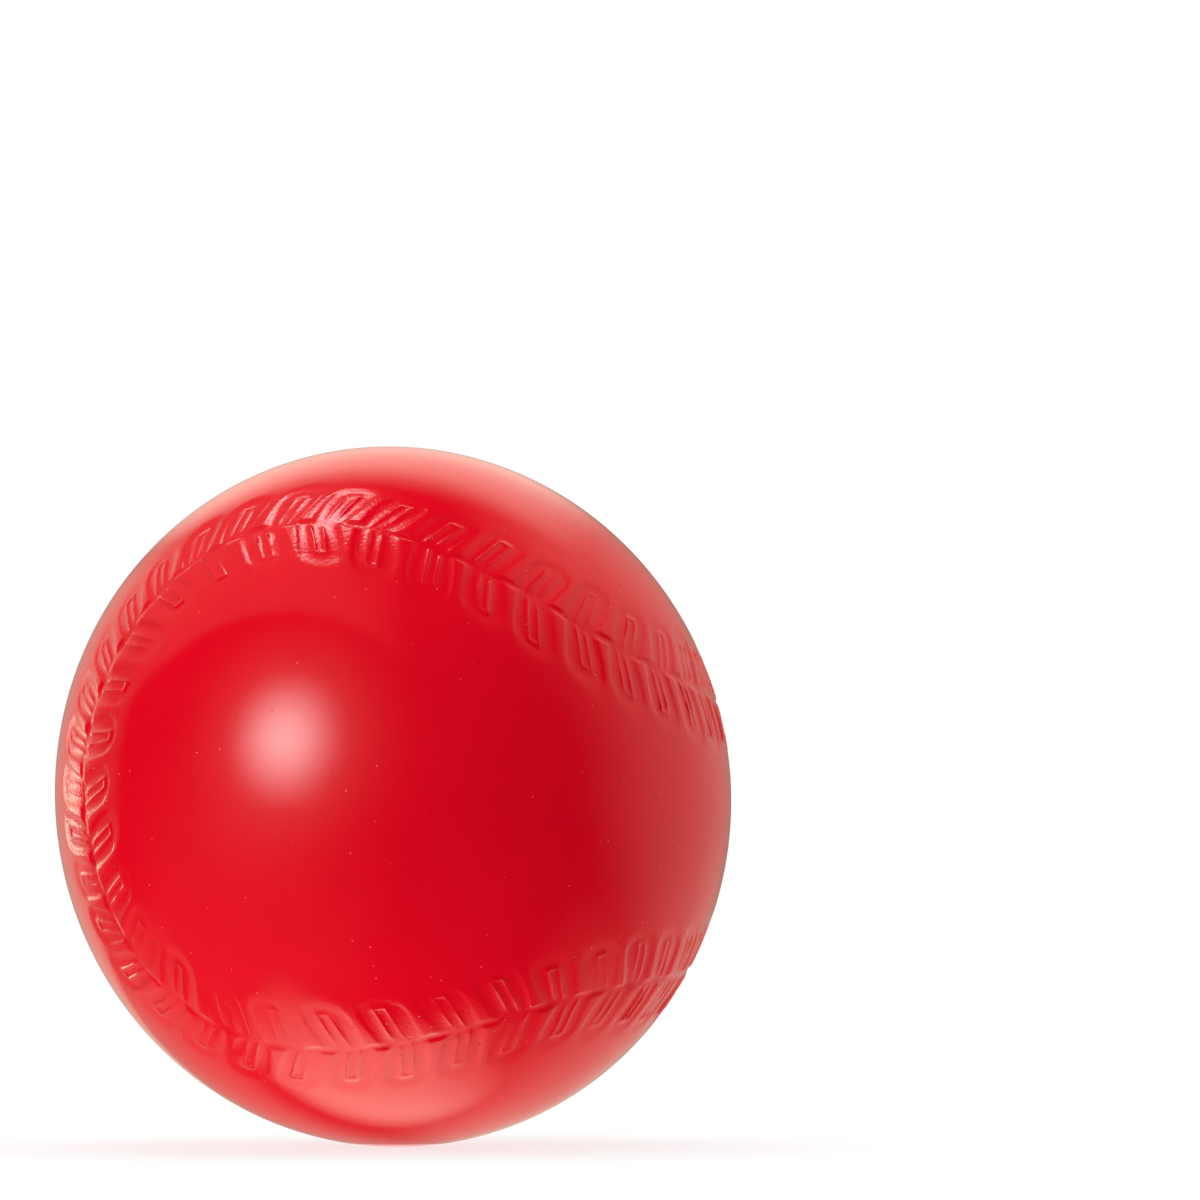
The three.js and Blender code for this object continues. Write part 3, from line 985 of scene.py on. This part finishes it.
# %% [markdown]
# ## Studio
# The ball stands on a white floor before a white surround. A glossy ball shows its whole room in its skin, so
# a photographer puts a tent of cloth round it: black on the camera's side, and warm white where pale edges
# shall show, which is above, to the sides, behind and close below. The cloth round the key lamp glows too, as
# a wide halo. The tent here is one thin shell that glows where it is white. Only reflections see it, so it
# casts no shadow and hides nothing from other views.

# %% Floor and surround
FLOOR_RADIUS = 4
FLOOR_SIDES = 96
FLOOR_WHITE_SHARE = 0.75
FLOOR_FADE = (0.15, 0.6)
FLOOR_COLOUR = "#f2f2f2"

bpy.context.scene.view_settings.view_transform = "Standard"


def seen_directly(tree):
    """1 for rays of the camera, of gloss and of glass, 0 for light that spreads."""
    path = add(tree, "ShaderNodeLightPath", {}).outputs
    gloss = add(tree, "ShaderNodeMath", {
        0: path["Is Camera Ray"], 1: path["Is Glossy Ray"],
    }, operation="MAXIMUM")
    return add(tree, "ShaderNodeMath", {
        0: gloss.outputs[0], 1: path["Is Transmission Ray"],
    }, operation="MAXIMUM").outputs[0]


world = bpy.data.worlds.new("white_surround")
bpy.context.scene.world = world
world.use_nodes = True
surround = world.node_tree.nodes["Background"]
surround.inputs["Color"].default_value = linear("#ffffff")
world.node_tree.links.new(seen_directly(world.node_tree), surround.inputs["Strength"])

floor_points = [[FLOOR_RADIUS / MM * math.sin(a), FLOOR_RADIUS / MM * math.cos(a), cad_box[0].z / MM]
                for a in np.linspace(0, 2 * math.pi, FLOOR_SIDES, endpoint=False)]
floor = plain_object("floor", np.array(floor_points), [list(range(FLOOR_SIDES))[::-1]])
paper = bpy.data.materials.new("white_studio_paper")
paper.use_nodes = True
paper_tree = paper.node_tree
matt = add(paper_tree, "ShaderNodeBsdfDiffuse", {"Color": linear(FLOOR_COLOUR)})
white = add(paper_tree, "ShaderNodeEmission", {"Color": linear("#ffffff"), "Strength": 1.0})
away = add(paper_tree, "ShaderNodeVectorMath", {
    0: add(paper_tree, "ShaderNodeTexCoord", {}).outputs["Object"],
}, operation="LENGTH")
plain = add(paper_tree, "ShaderNodeMapRange", {
    "Value": away.outputs["Value"], "From Min": FLOOR_FADE[0], "From Max": FLOOR_FADE[1],
    "To Min": FLOOR_WHITE_SHARE, "To Max": 1.0,
}, interpolation_type="SMOOTHSTEP")
share = add(paper_tree, "ShaderNodeMath", {
    0: seen_directly(paper_tree), 1: plain.outputs["Result"],
}, operation="MULTIPLY")
mixed = add(paper_tree, "ShaderNodeMixShader", {0: share.outputs[0], 1: matt.outputs[0], 2: white.outputs[0]})
paper_tree.links.new(mixed.outputs[0], paper_tree.nodes["Material Output"].inputs["Surface"])
floor.data.materials.append(paper)
floor.visible_diffuse = False
floor.visible_shadow = False
print(f"floor at {cad_box[0].z / MM:.1f} mm")

# %% Tent of black and white cloth
TENT_RADIUS = 1.6
TENT_STEPS = (240, 180)
TENT_ABOVE_FLOOR = 1.0
LEAST_DROP = 1e-6
KEY_DIRECTION = (-0.6, -0.749, 0.28)
HALO_REACH = 54
HALO_LEVEL = 1.3
# each white panel, in degrees: its clock angle and half width round the line of sight, how far its near edge
# slants per degree of clock angle, the angles off sight over which it begins and over which it ends, and then
# its brightness as a share of white
PANELS = {
    "ceiling": (128, 32, 0.9, (75, 81), (118, 140), 0.33),
    "high behind": (90, 40, 0.4, (115, 138), (148, 190), 1.35),
    "right": (5, 60, 0, (58, 104), (126, 200), 0.62),
    "low right": (300, 26, 0, (50, 80), (110, 200), 0.68),
    "left before": (215, 40, 0, (10, 45), (70, 100), 0.12),
    "left": (190, 45, 0, (105, 110), (190, 200), 0.2),
    "left behind": (190, 62, 0, (118, 134), (140, 205), 0.72),
    "table": (264, 22, 0, (48, 57), (68, 76), 2.1),
    "under": (-90, 60, 0, (71, 84), (120, 200), 0.42),
}
PANEL_SOFTNESS = 15


def tent_brightness(direction):
    """How bright the tent is in a direction from the ball."""
    x, y, z = direction.T
    off_sight = np.degrees(np.arccos(np.clip(-y, -1, 1)))
    clock = np.degrees(np.arctan2(z, x))
    brightness = np.zeros(len(direction))
    for middle, half_width, slant, begins, ends, level in PANELS.values():
        aside = (clock - middle + 180) % 360 - 180
        panel = smooth(np.abs(aside), half_width + PANEL_SOFTNESS, half_width - PANEL_SOFTNESS)
        panel = panel * smooth(off_sight - slant * aside, *begins) * smooth(off_sight, *ends[::-1])
        brightness = np.maximum(brightness, level * panel)
    from_key = np.degrees(np.arccos(np.clip(direction @ np.array(KEY_DIRECTION), -1, 1)))
    return brightness + HALO_LEVEL * smooth(from_key, HALO_REACH, 0) ** 2


turns = 2 * math.pi * np.arange(TENT_STEPS[0]) / TENT_STEPS[0]
tilts = math.pi * (np.arange(TENT_STEPS[1]) + 0.5) / TENT_STEPS[1]
tilt, turn = np.meshgrid(tilts, turns, indexing="ij")
level = np.sin(tilt)
direction = np.stack([level * np.sin(turn), level * np.cos(turn), np.cos(tilt)], -1).reshape(-1, 3)
floor_depth = -cad_box[0].z / MM - TENT_ABOVE_FLOOR
down = np.maximum(-direction[:, 2], LEAST_DROP)
reach = np.minimum(TENT_RADIUS / MM, floor_depth / down)
numbers = np.arange(len(direction)).reshape(TENT_STEPS[1], TENT_STEPS[0])
after = np.roll(numbers, -1, axis=1)
quads = np.stack([numbers[:-1], after[:-1], after[1:], numbers[1:]], -1).reshape(-1, 4).tolist()
tent = plain_object("light_tent", direction * reach[:, None], quads)
glow = tent.data.attributes.new("brightness", "FLOAT", "POINT")
glow.data.foreach_set("value", tent_brightness(direction).astype(np.float32))
cloth = bpy.data.materials.new("black_and_white_tent_cloth")
cloth.use_nodes = True
cloth.cycles.emission_sampling = "NONE"
cloth_tree = cloth.node_tree
brightness = add(cloth_tree, "ShaderNodeAttribute", {}, attribute_name="brightness")
glowing = add(cloth_tree, "ShaderNodeEmission", {
    "Color": linear("#fffce8"), "Strength": brightness.outputs["Fac"],
})
cloth_tree.links.new(glowing.outputs[0], cloth_tree.nodes["Material Output"].inputs["Surface"])
tent.data.materials.append(cloth)
for kind in ("camera", "diffuse", "transmission", "volume_scatter", "shadow"):
    setattr(tent, f"visible_{kind}", False)
print(len(quads), "faces of cloth")

# %% [markdown]
# ## Lamps
# Three lamps show in the gloss. A round soft lamp stands ahead and to the left and makes the one large glow
# on the skin, a small one hangs overhead and sparkles on the upper stitches, and a tall warm strip stands
# behind on the left and picks out the stitches at that edge. The rest only gives an even light and is hidden
# from the gloss: the pale room before and behind, and a wide lamp each overhead, to the right and below the
# table, which is translucent, as shooting tables are. Brightness is given as a share of white paper's.

# %% Lamps
LAMP_MIDDLE = (0.5, 0.5, 0)
LAMP_RIM = 0.5
RIM_FALLOFF = 2.0
SUN_DISTANCE = 2


def hung(name, data, direction, distance):
    """A lamp hung in a direction from the ball and turned to it."""
    made = bpy.data.objects.new(name, data)
    made.location = direction.normalized() * distance
    made.rotation_euler = direction.to_track_quat("Z", "Y").to_euler()
    bpy.context.scene.collection.objects.link(made)
    print(name, f"{data.energy:.1f} W")
    return made


def lamp(name, direction, brightness, distance, width, height):
    """A round or oval lamp, with its brightness at the middle as a share of white."""
    data = bpy.data.lights.new(name, "AREA")
    data.shape = "ELLIPSE"
    data.size = width
    data.size_y = height
    data.energy = brightness * math.pi * math.pi * width / 2 * height / 2
    return hung(name, data, Vector(direction), distance)


def soften(made, colour):
    """Gives a lamp its colour and lets it fade from its middle to its rim."""
    made.data.color = linear(colour)[:3]
    made.data.use_nodes = True
    tree = made.data.node_tree
    spot = add(tree, "ShaderNodeNewGeometry", {}).outputs["Parametric"]
    from_middle = add(tree, "ShaderNodeVectorMath", {0: spot, 1: LAMP_MIDDLE}, operation="DISTANCE")
    soft_rim = add(tree, "ShaderNodeMapRange", {
        "Value": from_middle.outputs["Value"], "From Min": LAMP_RIM, "From Max": 0.0,
    }, interpolation_type="SMOOTHSTEP")
    softer = add(tree, "ShaderNodeMath", {0: soft_rim.outputs["Result"], 1: RIM_FALLOFF}, operation="POWER")
    tree.links.new(softer.outputs[0], tree.nodes["Emission"].inputs["Strength"])


key = lamp("key_lamp", KEY_DIRECTION, brightness=8.4, distance=1.0, width=1.0, height=1.0)
sparkle = lamp("sparkle_lamp", (-0.2, 0.19, 0.956), brightness=7, distance=1.0, width=0.6, height=0.6)
strip = lamp("strip_lamp", (-0.639, 0.719, -0.271), brightness=5.5, distance=1.0, width=0.36, height=1.8)
soften(key, "#ffffff")
soften(sparkle, "#ffffff")
soften(strip, "#fff0d2")

# %% Even light, hidden from the gloss
def half_room(name, direction, brightness):
    """Even light from half of the room: a sun as wide as that half of the sky."""
    data = bpy.data.lights.new(name, "SUN")
    data.angle = math.pi
    data.energy = brightness * math.pi
    return hung(name, data, Vector(direction), SUN_DISTANCE)


even_light = [
    half_room("room_before", (-0.7, -1, 0.1), brightness=0.6),
    half_room("room_behind", (0.2, 1, 0.1), brightness=0.7),
    lamp("top_lamp", (0.1, 0, 1), brightness=1.6, distance=1.2, width=1.2, height=1.2),
    lamp("right_lamp", (1, 0.5, 0.2), brightness=2.3, distance=1.0, width=0.9, height=0.9),
    lamp("table_lamp", (-0.1, -0.15, -1), brightness=1.75, distance=0.6, width=0.9, height=0.9),
]
for made in even_light:
    made.visible_glossy = False
    made.data.cycles.use_multiple_importance_sampling = False
